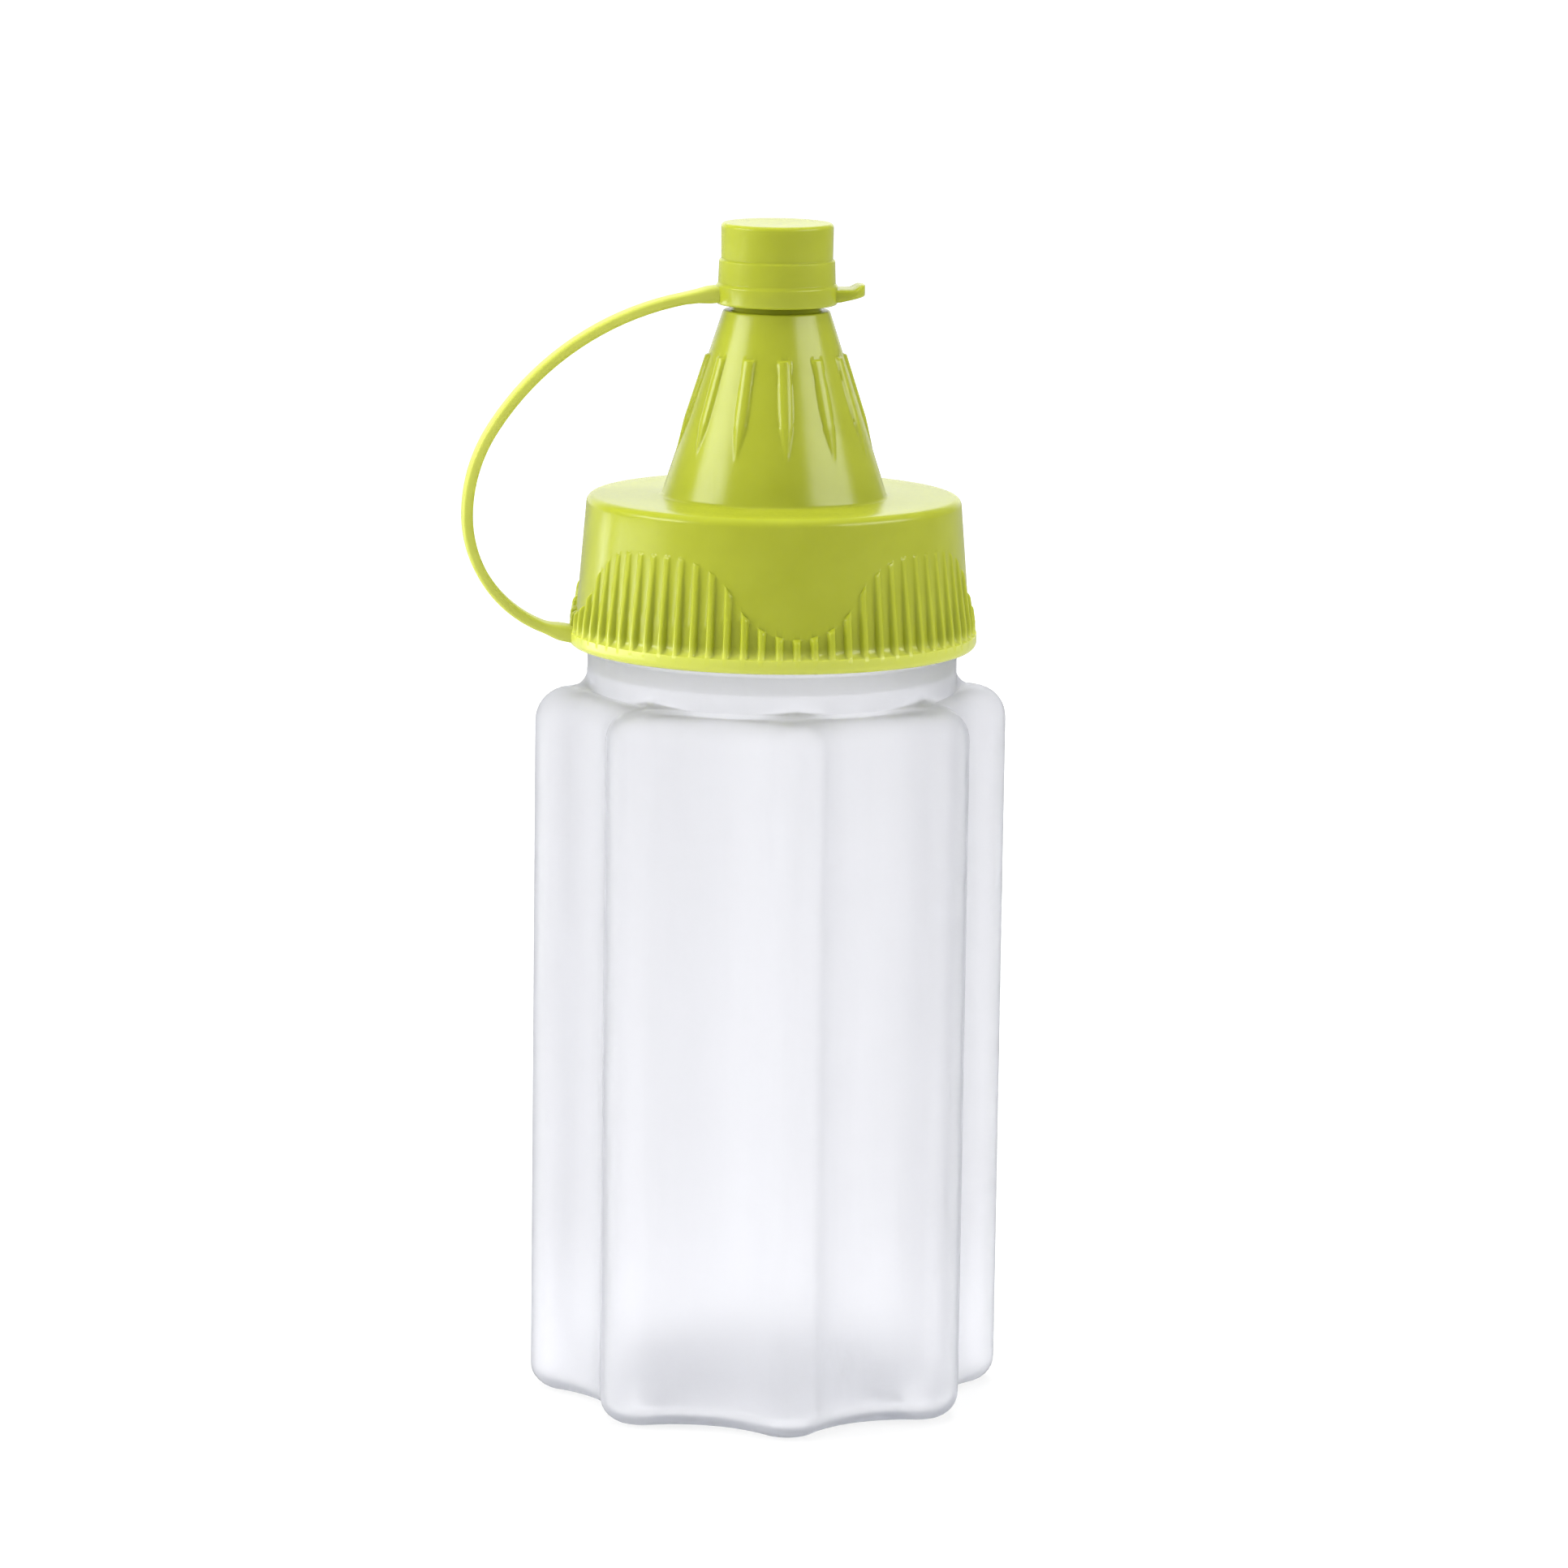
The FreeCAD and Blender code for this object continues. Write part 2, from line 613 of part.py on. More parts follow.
def make_strap():
    """The flexible strap, a band of tangent bends from the lid's lug to the cap's lug."""
    route = strap_route()
    half = value("strap_thickness") / 2
    width = value("strap_width")
    outer = []
    inner = []
    for (start, centre), (end, _) in zip(route, route[1:]):
        outer.append(strap_edge(start, end, centre, half))
        inner.append(strap_edge(start, end, centre, -half))
    foot = Part.makeLine(outer[0].Vertexes[0].Point, inner[0].Vertexes[0].Point)
    head = Part.makeLine(outer[-1].Vertexes[-1].Point, inner[-1].Vertexes[-1].Point)
    loop = Part.Wire(Part.__sortEdges__(outer + inner + [foot, head]))
    band = Part.Face(loop).extrude(FreeCAD.Vector(0, width, 0))
    long_edges = [edge for edge in band.Edges if isinstance(edge.Curve, Part.Circle)]
    strap = DOC.addObject("Part::Feature", "tether_strap")
    strap.Shape = band.makeChamfer(value("strap_edge"), long_edges)
    strap.Placement = FreeCAD.Placement(FreeCAD.Vector(0, -width / 2, 0), FreeCAD.Rotation())
    return strap


def check(parts):
    """Stop where anything failed to build."""
    DOC.recompute()
    failed = [item.Name for item in DOC.Objects if {"Invalid", "Error"} & set(item.State)]
    assert not failed, failed
    for part in parts:
        assert not part.Shape.isNull() and part.Shape.isValid(), part.Label
        assert len(part.Shape.Solids) == 1, part.Label


def main():
    fill_sheet()
    parts = [make_bottle(), make_lid(), make_seal(), make_cap(), make_strap()]
    check(parts)
    os.makedirs("parts", exist_ok=True)
    for part in parts:
        part.Shape.exportStep(f"parts/{part.Label}.step")
        print(part.Label, round(part.Shape.Volume, 1), part.Shape.BoundBox)


main()
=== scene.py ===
"""Looks of a condiment squeeze bottle: fluted frosted bottle, ribbed green screw lid with a conical
spout, and a tip cap on a strap.

Pieces are worked out in millimetres in the frame of the CAD part (+Z up, strap towards -X, front
towards -Y) and turned into metres where a mesh is made.
"""
import math

import bpy
import numpy as np
from mathutils import Matrix, Vector


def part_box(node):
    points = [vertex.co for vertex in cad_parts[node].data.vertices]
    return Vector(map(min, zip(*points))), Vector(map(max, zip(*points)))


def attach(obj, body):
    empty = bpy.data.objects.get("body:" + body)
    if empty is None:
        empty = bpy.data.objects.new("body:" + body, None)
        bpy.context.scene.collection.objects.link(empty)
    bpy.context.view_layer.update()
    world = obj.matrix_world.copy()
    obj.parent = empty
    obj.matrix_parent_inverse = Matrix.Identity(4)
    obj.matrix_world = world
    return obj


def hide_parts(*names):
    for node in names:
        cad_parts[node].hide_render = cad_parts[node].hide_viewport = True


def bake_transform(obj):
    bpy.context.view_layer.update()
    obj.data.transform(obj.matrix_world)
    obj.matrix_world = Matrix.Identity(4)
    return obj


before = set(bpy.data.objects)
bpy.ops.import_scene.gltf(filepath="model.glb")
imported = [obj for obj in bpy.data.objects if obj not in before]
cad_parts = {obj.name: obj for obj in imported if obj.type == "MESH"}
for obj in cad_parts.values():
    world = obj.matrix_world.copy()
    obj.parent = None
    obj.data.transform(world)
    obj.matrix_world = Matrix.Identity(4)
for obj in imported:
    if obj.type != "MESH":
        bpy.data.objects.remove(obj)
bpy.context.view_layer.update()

MM = 0.001


def extent(node):
    """Lowest and highest corner of a CAD node, in millimetres."""
    low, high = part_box(node)
    return low / MM, high / MM


BOTTLE_HIGH = extent("bottle")[1]
LID_LOW, LID_HIGH = extent("screw_lid")
CAP_LOW, CAP_HIGH = extent("tip_cap")
STRAP_LOW = extent("tether_strap")[0]

# Bottle
BODY_RADIUS = BOTTLE_HIGH.y
BODY_HEIGHT = 85.6
FLUTES = 8
FLUTE_DEPTH = 4.2
RIDGE_ROUND = 5.0
SHOULDER_ROUND = 4.0
BASE_ROUND = 3.0
BOTTLE_WALL = 1.0
BASE_WALL = 1.4
PUSH_UP = 1.1
PUSH_UP_SHARE = 0.84
COLLAR_RADIUS = 22.0
COLLAR_FOOT = 88.4
COLLAR_TOP = 90.2
COLLAR_BLEND = 2.2
COLLAR_INSIDE = 20.6
NECK_RADIUS = 20.4
NECK_FOOT = 92.0
NECK_BORE = 19.1
NECK_TOP = BOTTLE_HIGH.z
SEAM_PROUD = 0.07
SEAM_WIDTH = 0.45

# Thread of the neck and, half a turn lower, of the lid
THREAD_PITCH = 4.0
THREAD_TURNS = 1.4
THREAD_PROUD = 0.5
THREAD_HALF_WIDTH = 0.85
NECK_THREAD_START = 95.2
NECK_THREAD_FOOT = 92.3
NECK_THREAD_STEP = 0.28
LID_THREAD_START = 93.2
LID_THREAD_TOP = 12.1
LID_THREAD_FOOT = 0.9
LID_THREAD_STEP = 0.3

# Lid, with heights above its lower edge
LID_BASE = LID_LOW.z
RIM_RADIUS = LID_HIGH.y
RIM_HEIGHT = 2.0
RIM_ROUND = 0.8
RIM_SLOPE_FOOT = 1.7
RIM_SLOPE_TOP = 3.2
LID_HEIGHT = 17.9
LID_BORE = 21.1
LID_TOP_RADIUS = 22.2
LID_CORE_RADIUS = 23.5
LID_EDGE_ROUND = 1.0
LID_ROOF = 16.5
LID_PLAIN_BORE = 12.4
FINE_TOP_RADIUS = 19.0
COARSE_TOP_RADIUS = 18.4
CONE_FOOT = LID_HEIGHT + 1.2
RIBS = 72
RIB_OFFSETS = (-0.54, -0.43, -0.32, -0.2, 0, 0.2, 0.32, 0.43, 0.54)
RIB_SHARES = (0, 0.25, 0.8, 0.95, 1, 0.95, 0.8, 0.25, 0)
RIB_TOP = 13.0
RIB_TOP_PROUD = 0.5
RIB_END = 0.45
SCOOPS = 4
SCOOP_FLOOR = 4.1
SCOOP_HALF_WIDTH = 15.0
CONE_BASE_RADIUS = 13.4
CONE_TOP_RADIUS = 6.3
CONE_TOP = 39.9
CONE_WALL = 1.3
CONE_RIBS = 12
CONE_RIB_HALF_WIDTH = 0.8
CONE_RIB_PROUD = 0.42
CONE_RIB_START = LID_HEIGHT + 4.7
CONE_RIB_END = CONE_RIB_START + 12.1
CONE_RIB_POINT = 4.5
TIP_BASE_RADIUS = 5.4
TIP_TOP_RADIUS = 2.4
TIP_TOP = LID_HIGH.z - LID_BASE
ORIFICE_RADIUS = 1.5
ORIFICE_LENGTH = 2.4

# Tip cap, with heights above its lower edge
CAP_BASE = CAP_LOW.z
CAP_HEIGHT = CAP_HIGH.z - CAP_BASE
FLANGE_RADIUS = CAP_HIGH.y
FLANGE_HEIGHT = 2.2
FLARE_RADIUS = 6.85
FLARE_TOP = 5.2
CAP_TOP_RADIUS = 6.65
CAP_EDGE = 0.45
CAP_ROOF = 7.4
CAP_MOUTH_RADIUS = 5.47
CAP_ROOF_RADIUS = 2.55
STOPPER_RADIUS = 1.25
STOPPER_END_RADIUS = 0.4
STOPPER_END = 5.6
STOPPER_SHOULDER = 6.9
TAB_REACH = CAP_HIGH.x
TAB_HALF_WIDTH = 2.5
TAB_ROOT = 1.5
TAB_END = 0.7
TAB_LIP = 0.5
TAB_ROUND = 1.8
TAB_MIDDLE = FLANGE_HEIGHT / 2

# Strap
STRAP_WIDTH = 3.2
STRAP_THICKNESS = 1.25
STRAP_EDGE = 0.42
STRAP_ROOT = 2.0
STRAP_FOOT = complex(-(RIM_RADIUS + 0.8), LID_BASE + 1.6)
STRAP_HEAD = complex(-(FLANGE_RADIUS + 0.8), CAP_BASE + TAB_MIDDLE)
STRAP_LOW_SHARE = 0.35
STRAP_FOOT_SLOPE = math.radians(11.5)
STRAP_LOW_TURN = math.radians(19)
STRAP_SIDE_TURN = math.radians(32)
STRAP_HEAD_SLOPE = math.radians(6)

# Camera: distance and height in millimetres, angles in degrees, and a focal length in picture widths
CAMERA_DISTANCE = 794
CAMERA_HEIGHT = 213
CAMERA_YAW = 7
CAMERA_PITCH = 9.953
CAMERA_PAN = 0.117
CAMERA_ROLL = 0.76
FOCAL_WIDTHS = 8309 / 1932

# Colours as they look on screen (0 to 255), each pair the darker and the lighter shade
GREEN = (164, 171, 44), (169, 176, 50)
# Painted light: a lighter green painted on the lid's lower edge for the light the thin rim lets through and
# catches from below
RIM_PAINTED_LIGHT = 194, 200, 82
STRAP_GREEN = (190, 196, 74), (196, 202, 82)
MILKY = (241, 241, 243), (244, 244, 246)
# Painted light: the bottle's foot is painted this paler white to offset the shade near the floor
FOOT_PAINTED_LIGHT = 251, 251, 253
FOAM = (226, 226, 222), (236, 236, 232)

# Heights between which the bottle's foot is painted paler, a painted light against the shade near the floor
FOOT_PAINTED_LIGHT_LOW = 4
FOOT_PAINTED_LIGHT_HIGH = 24

# Light: strength of the even light, of the studio where the gloss sees no panel, and of the backdrop in
# the gloss, which begins and is full at these parts of a direction towards the back
AMBIENT = 0.45
STUDIO_DIM = 0.25
BACKDROP_GLOSS = 1.25
BACKDROP_EDGE = 0.75
BACKDROP_FULL = 0.95

# Lamps that light surfaces and panels that only the gloss shows: name, place and size in metres,
# radiance, and the height on the axis that they face
LAMPS = (
    ("left_lamp", (-0.75, -0.08, 0.35), (0.5, 0.6), 6.5, 0.1),
    ("right_lamp", (0.7, -0.3, 0.4), (0.5, 0.6), 3.1, 0.1),
    ("top_lamp", (0, 0.1, 0.8), (0.6, 0.6), 4.8, 0.1),
)
PANELS = (
    ("left_panel", (-0.37, -0.05, 0.26), (0.26, 0.11), 6.0, 0.26),
    ("low_left_panel", (-0.37, 0.1, 0.045), (0.4, 0.088), 4.0, 0.045),
    ("right_panel", (0.52, -0.3, 0.386), (0.58, 0.2), 4.6, 0.1),
)

# Floor: half its side, the reach over which its own white comes up (metres), that white near the part and
# in the gloss, and how pale it is to the camera's shadow and to other light
FLOOR_HALF = 3.0
GLOW_NEAR = 0.05
GLOW_FAR = 0.6
GLOW_LOW = 0.72
GLOW_IN_GLOSS = 0.3
VEIL = 0.3
GROUND = 0.85

# Columns round the pieces, and points along a rounded corner
RIDGE_COLUMNS = 18
LID_FINE = 720
LID_COARSE = LID_FINE // 2
CAP_COLUMNS = 160
CORNER_STEPS = 7


# Meshes


class Skin:
    """Vertices and faces of a closed piece, put together ring by ring, in millimetres."""

    def __init__(self):
        self.points = []
        self.faces = []

    def ring(self, plane, height):
        """Add a ring of points (complex x + iy, and heights); return their numbers."""
        first = len(self.points)
        heights = np.broadcast_to(height, plane.shape)
        self.points += [(p.real, p.imag, z) for p, z in zip(plane, heights)]
        return list(range(first, len(self.points)))

    def bridge(self, lower, upper):
        """Join two rings, one of which may have half as many points as the other."""
        count = min(len(lower), len(upper))
        for j in range(count):
            low = self.stretch(lower, j, count)
            high = self.stretch(upper, j, count)
            self.faces.append(low + high[::-1])

    @staticmethod
    def stretch(ring, index, count):
        """The points of a ring that belong to one of count equal steps, both ends included."""
        step = len(ring) // count
        return [ring[(index * step + k) % len(ring)] for k in range(step + 1)]

    def rings(self, rows):
        """Add and join rings in turn; return the first and the last."""
        added = [self.ring(plane, height) for plane, height in rows]
        for lower, upper in zip(added, added[1:]):
            self.bridge(lower, upper)
        return added[0], added[-1]

    def close(self, ring, height, first):
        """Close the first or the last ring of a skin with a fan to a point on the axis."""
        centre = self.ring(np.array([0j]), height)[0]
        for here, after in zip(ring, ring[1:] + ring[:1]):
            self.faces.append([centre, after, here] if first else [here, after, centre])

    def piece(self, name, sharp=40):
        """The finished mesh object, in metres, smooth but for edges sharper than an angle."""
        mesh = bpy.data.meshes.new(name)
        mesh.from_pydata((np.array(self.points) * MM).tolist(), [], self.faces)
        return add_piece(name, mesh, sharp)


def add_piece(name, mesh, sharp=40):
    """Put a mesh into the scene as a smooth-shaded object."""
    mesh.shade_smooth()
    mesh.set_sharp_from_angle(angle=math.radians(sharp))
    piece = bpy.data.objects.new(name, mesh)
    bpy.context.scene.collection.objects.link(piece)
    return piece


def rounded(corners):
    """A line of points (radius, height) through corners (radius, height, round)."""
    points = [complex(radius, height) for radius, height, _ in corners]
    path = [points[0]]
    for before, here, after, corner in zip(points, points[1:], points[2:], corners[1:]):
        size = corner[2]
        if size == 0:
            path.append(here)
            continue
        inward = (before - here) / abs(before - here)
        onward = (after - here) / abs(after - here)
        half = abs(np.angle(onward / inward)) / 2
        middle = (inward + onward) / abs(inward + onward)
        centre = here + middle * size / math.sin(half)
        start = here + inward * size / math.tan(half) - centre
        end = here + onward * size / math.tan(half) - centre
        turn = np.angle(end / start)
        path += [centre + start * np.exp(1j * turn * s) for s in np.linspace(0, 1, CORNER_STEPS)]
    path.append(points[-1])
    return [(point.real, point.imag) for point in path]


def turned(corners, spokes):
    """Rings of a turned shape from the corners of its half section."""
    return [(radius * spokes, height) for radius, height in rounded(corners)]


def even_spokes(count):
    """Unit vectors at even angles round the axis."""
    return np.exp(2j * np.pi * np.arange(count) / count)


def smooth_step(low, high, value):
    """0 below low, 1 above high, smooth between."""
    share = np.clip((value - low) / (high - low), 0, 1)
    return share * share * (3 - 2 * share)


def soft_maximum(first, second, width):
    """The larger of two values, with a soft bend of a width where they cross."""
    share = np.clip(0.5 + 0.5 * (first - second) / width, 0, 1)
    return second + (first - second) * share + width * share * (1 - share)


def thread(spokes, height, start):
    """How far a right-handed thread stands out, 0 to 1, round a ring at a height."""
    turn = np.angle(spokes) % (2 * np.pi) / (2 * np.pi)
    proud = np.zeros(len(spokes))
    for lap in range(math.ceil(THREAD_TURNS) + 1):
        along = turn + lap
        ends = smooth_step(0, 0.08, along) * smooth_step(0, 0.08, THREAD_TURNS - along)
        away = np.abs(height - start - THREAD_PITCH * along) / THREAD_HALF_WIDTH
        proud = np.maximum(proud, ends * smooth_step(0, 0.6, 1 - away))
    return proud


# Bottle


HALF_PITCH = math.pi / FLUTES
RIDGE_REACH = BODY_RADIUS - RIDGE_ROUND
FLUTE_FLOOR = BODY_RADIUS - FLUTE_DEPTH
FLUTE_REACH = (RIDGE_REACH**2 - (FLUTE_FLOOR - RIDGE_ROUND) ** 2) / (
    2 * (RIDGE_REACH * math.cos(HALF_PITCH) + RIDGE_ROUND - FLUTE_FLOOR)
)
FLUTE_ROUND = FLUTE_REACH - FLUTE_FLOOR
FLANK = math.asin(FLUTE_REACH * math.sin(HALF_PITCH) / (RIDGE_ROUND + FLUTE_ROUND))


def fluted(inset):
    """The body's section, drawn in by inset: ridges and flutes as tangent arcs."""
    sweep = np.arange(RIDGE_COLUMNS) / RIDGE_COLUMNS * 2 - 1
    ridge = RIDGE_REACH + (RIDGE_ROUND - inset) * np.exp(1j * sweep * FLANK)
    flute = FLUTE_REACH - (FLUTE_ROUND + inset) * np.exp(-1j * sweep * (FLANK - HALF_PITCH))
    period = np.concatenate([ridge, flute * np.exp(1j * HALF_PITCH)])
    return np.outer(even_spokes(FLUTES), period).ravel()


def seamed(plane, height):
    """A ring with the faint upright seam of a two-part mould, left and right of the front."""
    off_seam = np.abs(plane.imag) / SEAM_WIDTH
    return plane * (1 + SEAM_PROUD * np.exp(-off_seam**2) / np.abs(plane)), height


def base_rows(inset, floor):
    """Rings of the base from near the axis to the round at its edge, with a low push-up."""
    edge = fluted(inset)
    rows = []
    for share in (0.12, 0.28, 0.44, 0.58, 0.7, 0.78, PUSH_UP_SHARE, 0.92):
        dome = PUSH_UP * (1 - smooth_step(0.45, PUSH_UP_SHARE, share))
        rows.append((edge * share, floor + dome))
    return rows


def body_rows(inset, floor, low_round, top, top_round):
    """Rings of the fluted wall, from its rounded foot to its rounded shoulder."""
    rows = []
    for t in np.linspace(0, np.pi / 2, 9):
        rows.append((fluted(inset + low_round * (1 - np.sin(t))), floor + low_round * (1 - np.cos(t))))
    for share in np.linspace(0, 1, 9)[1:-1]:
        rows.append((fluted(inset), floor + low_round + share * (top - top_round - floor - low_round)))
    for t in np.linspace(0, np.pi / 2, 11):
        rows.append((fluted(inset + top_round * (1 - np.cos(t))), top + top_round * (np.sin(t) - 1)))
    return rows


def against_collar(rows, start, radius):
    """Rings with those above a height held out where they would pass inside the collar."""
    held = []
    for plane, height in rows:
        reach = np.abs(plane)
        if height > start:
            plane = plane / reach * soft_maximum(reach, radius, COLLAR_BLEND)
        held.append((plane, height))
    return held


def collar_rows(spokes, shoulder):
    """Rings from the shoulder's last ring through a hollow bend to the collar's wall."""
    spare = np.minimum(np.abs(shoulder) - COLLAR_RADIUS, COLLAR_BLEND)
    bends = np.linspace(0, np.pi / 2, 6)
    return [
        (spokes * (COLLAR_RADIUS + spare * (1 - np.sin(a))), BODY_HEIGHT + COLLAR_BLEND * (1 - np.cos(a)))
        for a in bends
    ]


def make_bottle():
    """The hollow bottle: base, fluted body, shoulder, collar, threaded neck and its inside."""
    spokes = fluted(SHOULDER_ROUND) / np.abs(fluted(SHOULDER_ROUND))
    outside = base_rows(BASE_ROUND, 0) + body_rows(0, 0, BASE_ROUND, BODY_HEIGHT, SHOULDER_ROUND)
    outside = against_collar(outside, BODY_HEIGHT - SHOULDER_ROUND, COLLAR_RADIUS)
    outside += collar_rows(spokes, outside[-1][0])
    outside += turned(
        [(COLLAR_RADIUS, COLLAR_FOOT, 0), (COLLAR_RADIUS, COLLAR_TOP, 0.35),
         (NECK_RADIUS, COLLAR_TOP, 0.3), (NECK_RADIUS, NECK_FOOT, 0)],
        spokes,
    )
    for height in np.arange(NECK_THREAD_FOOT, NECK_TOP - 1, NECK_THREAD_STEP):
        proud = THREAD_PROUD * thread(spokes, height, NECK_THREAD_START)
        outside.append(((NECK_RADIUS + proud) * spokes, height))
    outside = [seamed(*row) for row in outside]
    roof = BODY_HEIGHT - BOTTLE_WALL
    mouth = turned(
        [(NECK_RADIUS, NECK_TOP - 0.9, 0), (NECK_RADIUS, NECK_TOP, 0.45), (NECK_BORE, NECK_TOP, 0.45),
         (NECK_BORE, COLLAR_TOP + 0.2, 0.6), (COLLAR_INSIDE, COLLAR_TOP - 2.6, 0.6),
         (COLLAR_INSIDE, roof + 0.8, 0)],
        spokes,
    )
    inner_foot = BASE_ROUND - BOTTLE_WALL
    inside = base_rows(BOTTLE_WALL + inner_foot, BASE_WALL)
    inside += body_rows(BOTTLE_WALL, BASE_WALL, inner_foot, roof, SHOULDER_ROUND - BOTTLE_WALL)
    inside = against_collar(inside, roof - SHOULDER_ROUND + BOTTLE_WALL, COLLAR_INSIDE)
    skin = Skin()
    first, last = skin.rings(outside + mouth + inside[::-1])
    skin.close(first, PUSH_UP, True)
    skin.close(last, BASE_WALL + PUSH_UP, False)
    return skin.piece("frosted_bottle")


# Lid


def rib_columns():
    """Spokes round the lid, ten to a grip rib, and how much of the rib each one has."""
    half = math.pi * RIM_RADIUS / RIBS
    offsets = np.array([-half, *RIB_OFFSETS])
    spokes = np.outer(even_spokes(RIBS), np.exp(1j * offsets / RIM_RADIUS)).ravel()
    return spokes, np.tile(np.array([0, *RIB_SHARES]), RIBS)


def scoop_line(spokes):
    """Height at which the ribs end: two tangent arcs down each side of a finger scoop."""
    rise = RIB_TOP - SCOOP_FLOOR
    bend = (SCOOP_HALF_WIDTH**2 + rise**2) / (4 * rise)
    quarter = 2 * np.pi / SCOOPS
    away = (np.angle(spokes) + quarter / 2) % quarter - quarter / 2
    across = np.abs((LID_CORE_RADIUS + RIM_RADIUS) / 2 * np.sin(away))
    low = SCOOP_FLOOR + bend - np.sqrt(np.maximum(bend**2 - across**2, 0))
    left = np.clip(SCOOP_HALF_WIDTH - across, 0, bend)
    high = RIB_TOP - bend + np.sqrt(bend**2 - left**2)
    return np.where(across < SCOOP_HALF_WIDTH / 2, low, high)


def core_radius(height):
    """The lid's drafted wall behind the ribs."""
    share = (height - RIM_HEIGHT) / (LID_HEIGHT - RIM_HEIGHT)
    return LID_CORE_RADIUS + (LID_TOP_RADIUS - LID_CORE_RADIUS) * share


def rib_radius(height, share):
    """The lid's wall with a share of the ribs' full height."""
    rise = (height - RIM_HEIGHT) / (RIB_TOP - RIM_HEIGHT)
    outer = RIM_RADIUS + (LID_TOP_RADIUS + RIB_TOP_PROUD - RIM_RADIUS) * rise
    core = core_radius(height)
    return core + (outer - core) * share


def skirt_rows():
    """Rings of the lid's outside, from its lower face over rim, ribs and scoops to its flat top."""
    spokes, shares = rib_columns()
    ends = scoop_line(spokes)
    rows = turned(
        [(LID_BORE + 1.0, 0, 0), (RIM_RADIUS, 0, RIM_ROUND), (RIM_RADIUS, RIM_SLOPE_FOOT, 0)],
        spokes,
    )
    for turn in np.linspace(0, np.pi / 2, CORNER_STEPS)[1:-1]:
        slope = 1 - (1 - rib_radius(RIM_SLOPE_TOP, shares) / RIM_RADIUS) * np.sin(turn)
        rise = (RIM_SLOPE_TOP - RIM_SLOPE_FOOT) * (1 - np.cos(turn))
        rows.append((RIM_RADIUS * slope * spokes, RIM_SLOPE_FOOT + rise))
    for share in np.linspace(0, 1, 7):
        height = RIM_SLOPE_TOP + (ends - RIB_END - RIM_SLOPE_TOP) * share
        rows.append((rib_radius(height, shares) * spokes, height))
    for share in (0.35, 0.6, 0.8, 0.95, 1.0):
        height = ends - RIB_END * (1 - share)
        rows.append((rib_radius(height, shares * math.sqrt(1 - share**2)) * spokes, height))
    top = LID_HEIGHT - LID_EDGE_ROUND
    for share in (0.08, 0.25, 0.5, 0.75, 1.0):
        height = ends + (top - ends) * share
        rows.append((core_radius(height) * spokes, height))
    for t in np.linspace(0, np.pi / 2, CORNER_STEPS)[1:]:
        radius = core_radius(top) - LID_EDGE_ROUND * (1 - np.cos(t))
        rows.append((radius * spokes, top + LID_EDGE_ROUND * np.sin(t)))
    rows.append((FINE_TOP_RADIUS * spokes, LID_HEIGHT))
    return rows


def cone_rows(spokes):
    """Rings of the spout's cone with its low ribs, each pointed below and square above."""
    sector = 2 * np.pi / CONE_RIBS
    away = np.abs((np.angle(spokes) + sector / 2) % sector - sector / 2)
    heights = np.concatenate([
        np.arange(CONE_FOOT, CONE_RIB_START, 0.8),
        np.arange(CONE_RIB_START, CONE_RIB_END - 0.1, 0.4),
        [CONE_RIB_END - 0.08, CONE_RIB_END + 0.08],
        np.arange(CONE_RIB_END + 0.6, CONE_TOP - 0.5, 0.8),
    ])
    rows = []
    for height in heights:
        share = (height - LID_HEIGHT) / (CONE_TOP - LID_HEIGHT)
        radius = CONE_BASE_RADIUS + (CONE_TOP_RADIUS - CONE_BASE_RADIUS) * share
        rise = np.clip((height - CONE_RIB_START) / CONE_RIB_POINT, 0, 1) * (height < CONE_RIB_END)
        half_width = np.maximum(CONE_RIB_HALF_WIDTH * rise, 0.01)
        rib = np.sqrt(np.clip(1 - (away * radius / half_width) ** 2, 0, 1))
        rows.append(((radius + CONE_RIB_PROUD * rise * rib) * spokes, height))
    return rows


def spout_rows():
    """Rings of the flat top, the cone, the tip, the way through it and the lid's threaded bore."""
    spokes = even_spokes(LID_COARSE) * np.exp(-1j * np.pi / RIBS)
    fillet = turned(
        [(COARSE_TOP_RADIUS, LID_HEIGHT, 0), (CONE_BASE_RADIUS, LID_HEIGHT, 0.5),
         (CONE_BASE_RADIUS - 0.39, CONE_FOOT, 0)],
        spokes,
    )
    tip = turned(
        [
            (CONE_TOP_RADIUS + 0.16, CONE_TOP - 0.5, 0),
            (CONE_TOP_RADIUS, CONE_TOP, 0.3),
            (TIP_BASE_RADIUS, CONE_TOP, 0.2),
            (TIP_TOP_RADIUS, TIP_TOP, 0.3),
            (ORIFICE_RADIUS, TIP_TOP, 0.2),
            (ORIFICE_RADIUS, TIP_TOP - ORIFICE_LENGTH, 0),
            (TIP_BASE_RADIUS - CONE_WALL, CONE_TOP - CONE_WALL, 1.0),
            (CONE_BASE_RADIUS - CONE_WALL, LID_ROOF, 0.6),
            (LID_BORE, LID_ROOF, 0.4),
            (LID_BORE, LID_PLAIN_BORE, 0),
        ],
        spokes,
    )
    bore = []
    for height in np.arange(LID_THREAD_TOP, LID_THREAD_FOOT, -LID_THREAD_STEP):
        proud = THREAD_PROUD * thread(spokes, LID_BASE + height, LID_THREAD_START)
        bore.append(((LID_BORE - proud) * spokes, height))
    mouth = turned([(LID_BORE, 0.7, 0), (LID_BORE, 0, 0.3), (LID_BORE + 0.5, 0, 0)], spokes)
    return fillet[:-1] + cone_rows(spokes) + tip + bore + mouth


def make_lid():
    """The screw lid in one skin: ribbed skirt, flat top, cone, tip and inside."""
    skin = Skin()
    rows = [(plane, LID_BASE + height) for plane, height in skirt_rows() + spout_rows()]
    first, last = skin.rings(rows)
    skin.bridge(last, first)
    return skin.piece("ribbed_screw_lid", 50)


# Tip cap


